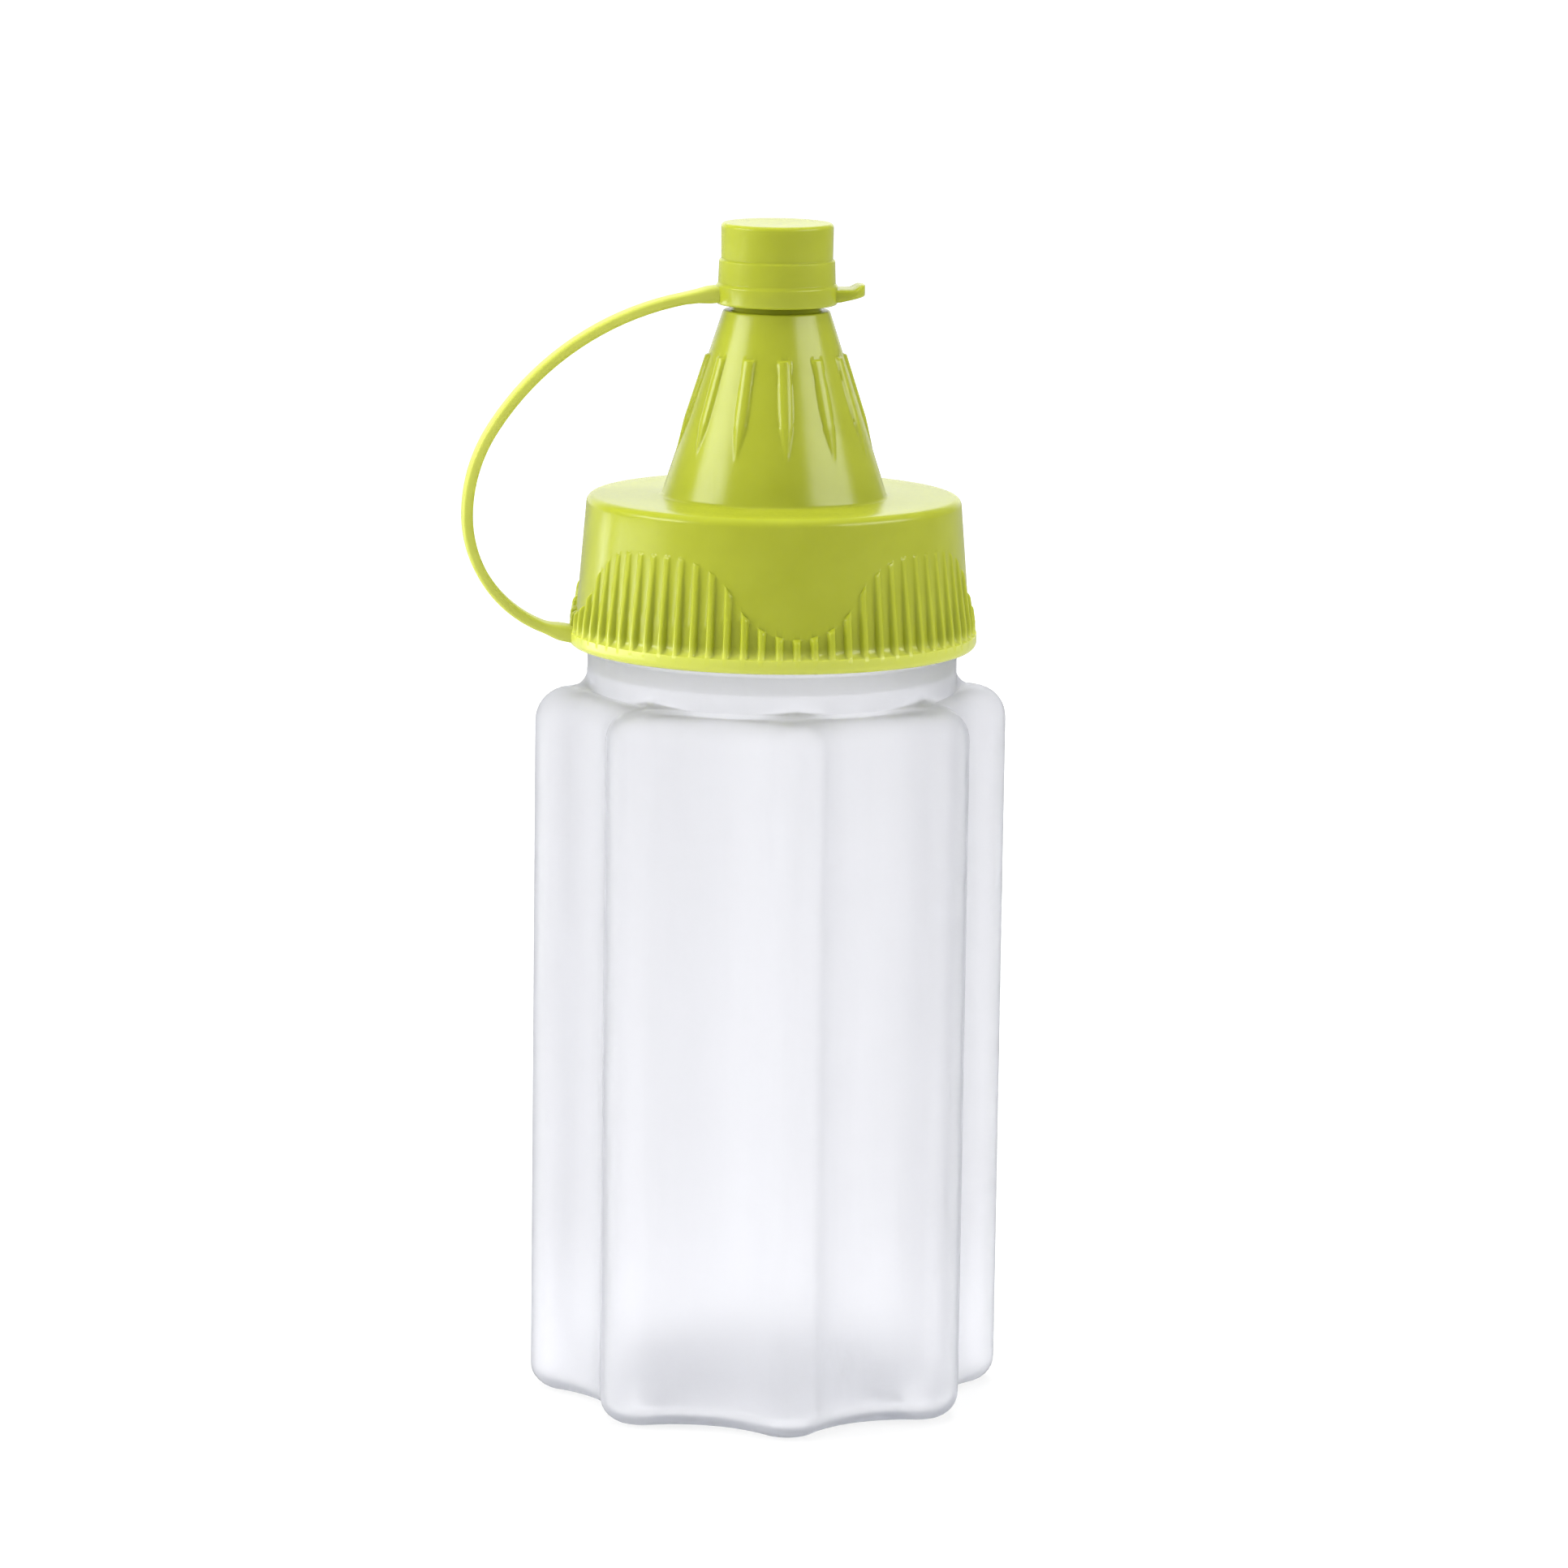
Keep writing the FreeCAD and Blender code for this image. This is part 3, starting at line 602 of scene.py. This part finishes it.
def slab(sections):
    """A closed skin through sections across X, each (x, half width, low, high), with rounded corners."""
    skin = Skin()
    rings = []
    corner = np.exp(2j * np.pi * (np.arange(24) + 0.5) / 24)
    for x, half_width, low, high in sections:
        size = min(0.35, (high - low) * 0.45, half_width * 0.45)
        flat_y = (half_width - size) * np.sign(corner.real) + size * corner.real
        flat_z = (low + high) / 2 + ((high - low) / 2 - size) * np.sign(corner.imag) + size * corner.imag
        rings.append(skin.ring(x + 1j * flat_y, flat_z))
    for lower, upper in zip(rings, rings[1:]):
        skin.bridge(lower, upper)
    skin.faces.append(rings[0][::-1])
    skin.faces.append(rings[-1])
    return skin


def tab_sections():
    """Sections of the thumb tab: thinner towards its rounded end, with a small upturned lip."""
    sections = []
    root = FLANGE_RADIUS - TAB_ROOT
    for x in np.concatenate([np.linspace(root, TAB_REACH - TAB_ROUND, 8), TAB_REACH - TAB_ROUND
                             + TAB_ROUND * np.sin(np.linspace(0.2, 1.45, 8))]):
        beyond = max(0, x - (TAB_REACH - TAB_ROUND))
        half_width = TAB_HALF_WIDTH - TAB_ROUND + math.sqrt(TAB_ROUND**2 - beyond**2)
        out = np.clip((x - FLANGE_RADIUS) / (TAB_REACH - FLANGE_RADIUS), 0, 1)
        lip = TAB_LIP * smooth_step(0.5, 0.85, out)
        low = CAP_BASE + TAB_MIDDLE - TAB_ROOT / 2 + TAB_END * out
        sections.append((x, half_width, low, CAP_BASE + TAB_MIDDLE + TAB_ROOT / 2 + lip))
    return sections


def join(piece, other):
    """Unite another closed piece with this one, and remove the other."""
    union = piece.modifiers.new("union", "BOOLEAN")
    union.operation = "UNION"
    union.solver = "EXACT"
    union.object = other
    graph = bpy.context.evaluated_depsgraph_get()
    mesh = bpy.data.meshes.new_from_object(piece.evaluated_get(graph))
    name = piece.name
    bpy.data.objects.remove(other)
    bpy.data.objects.remove(piece)
    joined = add_piece(name, mesh)
    joined.name = name
    return joined


def make_cap():
    """The tip cap: flange, flare, plain top, cavity with a stopper, and the thumb tab."""
    corners = [
        (0.15, STOPPER_END, 0),
        (STOPPER_END_RADIUS, STOPPER_END, 0.12),
        (STOPPER_RADIUS, STOPPER_SHOULDER, 0.2),
        (STOPPER_RADIUS, CAP_ROOF, 0.2),
        (CAP_ROOF_RADIUS, CAP_ROOF, 0.3),
        (CAP_MOUTH_RADIUS, 0, 0.25),
        (FLANGE_RADIUS, 0, 0.35),
        (FLANGE_RADIUS, FLANGE_HEIGHT, 0.4),
        (FLANGE_RADIUS - 0.25, FLANGE_HEIGHT + 0.35, 0.2),
        (FLARE_RADIUS, FLARE_TOP, 0.15),
        (CAP_TOP_RADIUS - 0.05, FLARE_TOP + 0.2, 0.12),
        (CAP_TOP_RADIUS, CAP_HEIGHT, CAP_EDGE),
        (CAP_TOP_RADIUS - 1.4, CAP_HEIGHT, 0.8),
        (0.4, CAP_HEIGHT - 0.2, 0),
    ]
    skin = Skin()
    rows = turned(corners, even_spokes(CAP_COLUMNS))
    first, last = skin.rings([(plane, CAP_BASE + height) for plane, height in rows])
    skin.close(first, CAP_BASE + STOPPER_END, True)
    skin.close(last, CAP_BASE + CAP_HEIGHT - 0.2, False)
    cap = skin.piece("tip_cap_shell")
    return join(cap, slab(tab_sections()).piece("tab"))


# Strap


def bend_radii(wide, high, turn, total):
    """Radii of two tangent bends that go wide and high; the first turns by turn, both by total."""
    across_first, up_first = 1 - math.cos(turn), math.sin(turn)
    across_next, up_next = math.cos(turn) - math.cos(total), math.sin(total) - math.sin(turn)
    share = across_first * up_next - across_next * up_first
    return (wide * up_next - high * across_next) / share, (high * across_first - wide * up_first) / share


def strap_half(outermost, end, turn, slope):
    """Points and headings of the strap's middle line from its outermost point to an end."""
    total = math.pi / 2 - slope
    reach = end - outermost
    near, far = bend_radii(reach.real, abs(reach.imag), turn, total)
    up = 1 if reach.imag > 0 else -1
    angles = np.linspace(0, total, 34)
    near_part = near * (1 - np.exp(-1j * np.minimum(angles, turn)))
    far_part = far * (np.exp(-1j * turn) - np.exp(-1j * np.maximum(angles, turn)))
    line = near_part + far_part
    heading = 1j * np.exp(-1j * angles)
    if up < 0:
        line, heading = line.conjugate(), heading.conjugate()
    return outermost + line, heading


def strap_line():
    """Points and headings (complex x + iz) of the strap's middle line from inside the lid to the cap."""
    height = STRAP_FOOT.imag + (STRAP_HEAD.imag - STRAP_FOOT.imag) * STRAP_LOW_SHARE
    outermost = complex(STRAP_LOW.x + STRAP_THICKNESS / 2, height)
    low, low_heading = strap_half(outermost, STRAP_FOOT, STRAP_LOW_TURN, STRAP_FOOT_SLOPE)
    high, high_heading = strap_half(outermost, STRAP_HEAD, STRAP_SIDE_TURN, STRAP_HEAD_SLOPE)
    foot_heading = -low_heading[-1]
    steps = np.array([-STRAP_ROOT, -STRAP_ROOT / 2])
    points = np.concatenate([
        low[-1] + foot_heading * steps, low[::-1], high[1:], high[-1] - high_heading[-1] * steps[::-1],
    ])
    headings = np.concatenate([
        np.full(2, foot_heading), -low_heading[::-1], high_heading[1:], np.full(2, high_heading[-1]),
    ])
    return points, headings


def make_strap():
    """The strap: a flat band with rounded edges, a little thicker where it leaves lid and cap."""
    points, headings = strap_line()
    along = np.concatenate([[0], np.cumsum(np.abs(np.diff(points)))])
    from_end = np.minimum(along, along[-1] - along)
    swell = 1 + 0.5 * (1 - smooth_step(STRAP_ROOT, 2.2 * STRAP_ROOT, from_end))
    corner = np.exp(2j * np.pi * (np.arange(32) + 0.5) / 32)
    flat = (STRAP_WIDTH / 2 - STRAP_EDGE) * np.sign(corner.real) + STRAP_EDGE * corner.real
    thick = (STRAP_THICKNESS / 2 - STRAP_EDGE) * np.sign(corner.imag) + STRAP_EDGE * corner.imag
    skin = Skin()
    rings = []
    for point, heading, grow in zip(points, headings, swell):
        outward = 1j * heading
        section = point + outward * thick * grow
        rings.append(skin.ring(section.real + 1j * flat * (1 + 0.2 * (grow - 1)), section.imag))
    for lower, upper in zip(rings, rings[1:]):
        skin.bridge(upper, lower)
    skin.faces.append(rings[0])
    skin.faces.append(rings[-1][::-1])
    return skin.piece("tether_band", 60)


# Materials


def linear(colour):
    """A colour given as it looks on screen (0 to 255), for a shader's socket."""
    shares = [part / 255 for part in colour]
    return [s / 12.92 if s <= 0.04045 else ((s + 0.055) / 1.055) ** 2.4 for s in shares] + [1.0]


class Recipe:
    """A node material round one Principled shader, with short calls for its nodes."""

    def __init__(self, name):
        self.material = bpy.data.materials.new(name)
        self.material.use_nodes = True
        self.nodes = self.material.node_tree.nodes
        self.links = self.material.node_tree.links
        self.shader = self.nodes["Principled BSDF"]
        self.place = self.nodes.new("ShaderNodeTexCoord").outputs["Object"]

    def set(self, **values):
        """Set sockets of the shader by name, with _ for a space."""
        for name, value in values.items():
            self.shader.inputs[name.replace("_", " ")].default_value = value

    def noise(self, grain, stretch=(1, 1, 1), detail=3.0):
        """Noise whose grain is a size in millimetres, longer along an axis where stretch is more."""
        mapping = self.nodes.new("ShaderNodeMapping")
        mapping.inputs["Scale"].default_value = [1 / part for part in stretch]
        texture = self.nodes.new("ShaderNodeTexNoise")
        texture.inputs["Scale"].default_value = 1 / (grain * MM)
        texture.inputs["Detail"].default_value = detail
        self.links.new(self.place, mapping.inputs["Vector"])
        self.links.new(mapping.outputs["Vector"], texture.inputs["Vector"])
        return texture.outputs["Fac"]

    def spread(self, value, low, high):
        """A noise value brought to a range."""
        node = self.nodes.new("ShaderNodeMapRange")
        node.inputs["From Min"].default_value = 0.3
        node.inputs["From Max"].default_value = 0.7
        node.inputs["To Min"].default_value = low
        node.inputs["To Max"].default_value = high
        self.links.new(value, node.inputs["Value"])
        return node.outputs["Result"]

    def tint(self, value, shades):
        """A colour between a darker and a lighter shade, by a noise value."""
        node = self.nodes.new("ShaderNodeMix")
        node.data_type = "RGBA"
        node.inputs["A"].default_value = linear(shades[0])
        node.inputs["B"].default_value = linear(shades[1])
        self.links.new(self.spread(value, 0, 1), node.inputs["Factor"])
        return node.outputs["Result"]

    def below(self, low, high, colour, lower):
        """A colour that turns to another one below a range of heights in millimetres."""
        parts = self.nodes.new("ShaderNodeSeparateXYZ")
        fall = self.nodes.new("ShaderNodeMapRange")
        fall.interpolation_type = "SMOOTHSTEP"
        fall.inputs["From Min"].default_value = high * MM
        fall.inputs["From Max"].default_value = low * MM
        node = self.nodes.new("ShaderNodeMix")
        node.data_type = "RGBA"
        node.inputs["B"].default_value = linear(lower)
        self.links.new(self.place, parts.inputs["Vector"])
        self.links.new(parts.outputs["Z"], fall.inputs["Value"])
        self.links.new(fall.outputs["Result"], node.inputs["Factor"])
        self.links.new(colour, node.inputs["A"])
        return node.outputs["Result"]

    def bump(self, value, depth, before=None):
        """A bump whose depth is in millimetres, on top of another one."""
        node = self.nodes.new("ShaderNodeBump")
        node.inputs["Strength"].default_value = 1.0
        node.inputs["Distance"].default_value = depth * MM
        self.links.new(value, node.inputs["Height"])
        if before is not None:
            self.links.new(before, node.inputs["Normal"])
        return node.outputs["Normal"]

    def feed(self, socket, value):
        """Link a value to a socket of the shader."""
        self.links.new(value, self.shader.inputs[socket])


def frosted_plastic():
    """Frosted, milky bottle plastic: upright flow streaks, a slightly uneven gloss, a greyer depth, and a
    foot painted paler as painted light against the shade near the floor.
    """
    recipe = Recipe("frosted_plastic")
    recipe.set(Transmission_Weight=0.88, IOR=1.22)
    streaks = recipe.noise(2.2, (1, 1, 14), 2.0)
    milky = recipe.tint(streaks, MILKY)
    # Painted light: the foot is painted paler to offset the shade near the floor
    recipe.feed("Base Color", recipe.below(FOOT_PAINTED_LIGHT_LOW, FOOT_PAINTED_LIGHT_HIGH, milky, FOOT_PAINTED_LIGHT))
    recipe.feed("Roughness", recipe.spread(recipe.noise(3.0), 0.44, 0.52))
    recipe.feed("Normal", recipe.bump(streaks, 0.03))
    depth = recipe.nodes.new("ShaderNodeVolumeAbsorption")
    depth.inputs["Color"].default_value = (0.75, 0.77, 0.815, 1)
    depth.inputs["Density"].default_value = 110
    recipe.links.new(depth.outputs["Volume"], recipe.nodes["Material Output"].inputs["Volume"])
    return recipe.material


def green_plastic(name, shades, gloss, inner_light, relief, rim=None):
    """Glossy moulded green plastic: faint clouding of the colour, orange peel and fine scuffs.

    gloss is the lowest roughness, inner_light the share of light that wanders below the surface, relief
    the strength of peel and scuffs, and rim a lighter green painted on the lid's lower edge: painted light
    for the light that the thin rim lets through and catches from below.
    """
    recipe = Recipe(name)
    recipe.set(IOR=1.47, Subsurface_Weight=inner_light, Subsurface_Scale=1.5 * MM)
    recipe.set(Subsurface_Radius=(1.0, 1.0, 0.3))
    clouds = recipe.noise(6.0, detail=4.0)
    peel = recipe.noise(1.1, detail=1.0)
    scuffs = recipe.noise(0.5, (1, 1, 6), 2.0)
    green = recipe.tint(clouds, shades)
    # Painted light: the lid's lower edge turns to a lighter green for the light the thin rim lets through
    # and catches from below
    if rim is not None:
        green = recipe.below(LID_BASE + RIM_SLOPE_FOOT, LID_BASE + RIM_SLOPE_TOP, green, rim)
    recipe.feed("Base Color", green)
    recipe.feed("Roughness", recipe.spread(scuffs, gloss, gloss + 0.06 * relief))
    skin = recipe.bump(peel, 0.004 * relief)
    recipe.feed("Normal", recipe.bump(scuffs, 0.0005 * relief, skin))
    return recipe.material


def seal_foam():
    """White closed-cell foam of the sealing ring."""
    recipe = Recipe("seal_foam")
    cells = recipe.nodes.new("ShaderNodeTexVoronoi")
    cells.inputs["Scale"].default_value = 1 / (0.4 * MM)
    recipe.links.new(recipe.place, cells.inputs["Vector"])
    recipe.feed("Base Color", recipe.tint(recipe.noise(2.0), FOAM))
    recipe.feed("Roughness", recipe.spread(recipe.noise(0.8), 0.75, 0.9))
    recipe.feed("Normal", recipe.bump(cells.outputs["Distance"], 0.06))
    return recipe.material


def dress(piece, material):
    """Give a piece its material in a single slot."""
    piece.data.materials.clear()
    piece.data.materials.append(material)


# Stage, light and camera


def larger(tree, first, second):
    """The larger of two sockets' values."""
    node = tree.nodes.new("ShaderNodeMath")
    node.operation = "MAXIMUM"
    tree.links.new(first, node.inputs[0])
    tree.links.new(second, node.inputs[1])
    return node.outputs[0]


def map_range(tree, value, start, end, low, high):
    """A socket's value brought from one range to another, and held there."""
    node = tree.nodes.new("ShaderNodeMapRange")
    for name, number in (("From Min", start), ("From Max", end), ("To Min", low), ("To Max", high)):
        node.inputs[name].default_value = number
    tree.links.new(value, node.inputs["Value"])
    return node.outputs["Result"]


def diffuse(tree, grey):
    """A plain diffuse shader of a grey."""
    node = tree.nodes.new("ShaderNodeBsdfDiffuse")
    node.inputs["Color"].default_value = (grey, grey, grey, 1)
    return node.outputs[0]


def make_floor():
    """A plain white floor that keeps the object's shadow and fades into the white backdrop."""
    mesh = bpy.data.meshes.new("floor")
    corners = [(x * FLOOR_HALF, y * FLOOR_HALF, 0) for x, y in ((-1, -1), (1, -1), (1, 1), (-1, 1))]
    mesh.from_pydata(corners, [], [(0, 1, 2, 3)])
    floor = bpy.data.objects.new("floor", mesh)
    bpy.context.scene.collection.objects.link(floor)
    material = bpy.data.materials.new("floor_white")
    material.use_nodes = True
    tree = material.node_tree
    tree.nodes.clear()
    place = tree.nodes.new("ShaderNodeTexCoord")
    reach = tree.nodes.new("ShaderNodeVectorMath")
    reach.operation = "LENGTH"
    tree.links.new(place.outputs["Object"], reach.inputs[0])
    glow = map_range(tree, reach.outputs["Value"], GLOW_NEAR, GLOW_FAR, GLOW_LOW, 1.0)
    path = tree.nodes.new("ShaderNodeLightPath")
    camera, gloss, clear = (path.outputs[f"Is {kind} Ray"] for kind in ("Camera", "Glossy", "Transmission"))
    emission = tree.nodes.new("ShaderNodeEmission")
    strength = larger(tree, blend_strength(tree, gloss, glow, GLOW_IN_GLOSS), clear)
    tree.links.new(strength, emission.inputs["Strength"])
    seen = tree.nodes.new("ShaderNodeAddShader")
    tree.links.new(emission.outputs[0], seen.inputs[0])
    tree.links.new(diffuse(tree, VEIL), seen.inputs[1])
    mix = tree.nodes.new("ShaderNodeMixShader")
    tree.links.new(larger(tree, larger(tree, camera, gloss), clear), mix.inputs["Fac"])
    tree.links.new(diffuse(tree, GROUND), mix.inputs[1])
    tree.links.new(seen.outputs[0], mix.inputs[2])
    output = tree.nodes.new("ShaderNodeOutputMaterial")
    tree.links.new(mix.outputs[0], output.inputs["Surface"])
    floor.data.materials.append(material)


def blend_strength(tree, factor, low, high):
    """A strength between two, each a number or a socket."""
    mix = tree.nodes.new("ShaderNodeMix")
    tree.links.new(factor, mix.inputs["Factor"])
    for name, value in (("A", low), ("B", high)):
        if isinstance(value, float):
            mix.inputs[name].default_value = value
        else:
            tree.links.new(value, mix.inputs[name])
    return mix.outputs["Result"]


def make_world():
    """A white backdrop behind the part, a dim studio in its gloss and an even soft light on it."""
    world = bpy.data.worlds.new("studio")
    world.use_nodes = True
    tree = world.node_tree
    background = tree.nodes["Background"]
    background.inputs["Color"].default_value = (1, 1, 1, 1)
    direction = tree.nodes.new("ShaderNodeTexCoord")
    parts = tree.nodes.new("ShaderNodeSeparateXYZ")
    tree.links.new(direction.outputs["Generated"], parts.inputs["Vector"])
    gloss = map_range(tree, parts.outputs["Y"], BACKDROP_EDGE, BACKDROP_FULL, STUDIO_DIM, BACKDROP_GLOSS)
    path = tree.nodes.new("ShaderNodeLightPath")
    clear = larger(tree, path.outputs["Is Camera Ray"], path.outputs["Is Transmission Ray"])
    lit = blend_strength(tree, path.outputs["Is Glossy Ray"], AMBIENT, gloss)
    strength = blend_strength(tree, clear, lit, 1.0)
    tree.links.new(strength, background.inputs["Strength"])
    bpy.context.scene.world = world


def make_lamp(name, place, size, radiance, aim_height):
    """A soft area lamp of an even radiance that faces the bottle's axis at a height."""
    lamp = bpy.data.lights.new(name, "AREA")
    lamp.shape = "RECTANGLE"
    lamp.size, lamp.size_y = size
    lamp.energy = radiance * math.pi * size[0] * size[1]
    holder = bpy.data.objects.new(name, lamp)
    holder.location = place
    aim = Vector((0, 0, aim_height)) - holder.location
    holder.rotation_euler = aim.to_track_quat("-Z", "Y").to_euler()
    bpy.context.scene.collection.objects.link(holder)
    return holder


def make_lights():
    """Soft lamps left, right and overhead, and bright panels on both sides for the gloss."""
    for values in LAMPS:
        lamp = make_lamp(*values)
        lamp.visible_glossy = False
        lamp.visible_transmission = False
    for values in PANELS:
        panel = make_lamp(*values)
        panel.visible_diffuse = False
        panel.visible_transmission = False


def make_camera():
    """The camera at the photograph's angle and framing."""
    yaw, pitch, pan, roll = (math.radians(a) for a in (CAMERA_YAW, CAMERA_PITCH, CAMERA_PAN, CAMERA_ROLL))
    level = Vector((math.sin(yaw + pan), math.cos(yaw + pan), 0))
    right = Vector((math.cos(yaw + pan), -math.sin(yaw + pan), 0))
    ahead = level * math.cos(pitch) - Vector((0, 0, math.sin(pitch)))
    up = right.cross(ahead)
    side = right * math.cos(roll) + up * math.sin(roll)
    top = up * math.cos(roll) - right * math.sin(roll)
    lens = bpy.data.cameras.new("camera")
    lens.angle = 2 * math.atan(0.5 / FOCAL_WIDTHS)
    lens.clip_start = 0.01
    camera = bpy.data.objects.new("camera", lens)
    place = Vector((-math.sin(yaw), -math.cos(yaw), 0)) * CAMERA_DISTANCE + Vector((0, 0, CAMERA_HEIGHT))
    turn = Matrix((side, top, -ahead)).transposed().to_4x4()
    camera.matrix_world = Matrix.Translation(place * MM) @ turn
    bpy.context.scene.collection.objects.link(camera)
    bpy.context.scene.camera = camera


def dress_part():
    """Make the bottle, lid, cap and strap, dress them and the seal, and tie bottle, lid and cap to their
    bodies.
    """
    # The lid's lower edge gets a painted light: a lighter green for the light the thin rim lets through and
    # catches from below
    lid_green = green_plastic("lid_green", GREEN, gloss=0.2, inner_light=0.5, relief=1.0, rim=RIM_PAINTED_LIGHT)
    cap_green = green_plastic("cap_green", GREEN, gloss=0.2, inner_light=0.5, relief=1.0)
    strap_green = green_plastic("strap_green", STRAP_GREEN, gloss=0.4, inner_light=0.0, relief=0.1)

    bottle = make_bottle()
    dress(bottle, frosted_plastic())
    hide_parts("bottle")
    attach(bottle, "bottle_body")

    lid = make_lid()
    dress(lid, lid_green)
    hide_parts("screw_lid")
    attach(lid, "lid")

    cap = make_cap()
    dress(cap, cap_green)
    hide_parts("tip_cap")
    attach(cap, "cap")

    strap = make_strap()
    dress(strap, strap_green)
    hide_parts("tether_strap")
    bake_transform(strap)

    dress(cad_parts["lid_seal"], seal_foam())


dress_part()
make_floor()
make_world()
make_lights()
make_camera()
bpy.context.scene.view_settings.view_transform = "Standard"
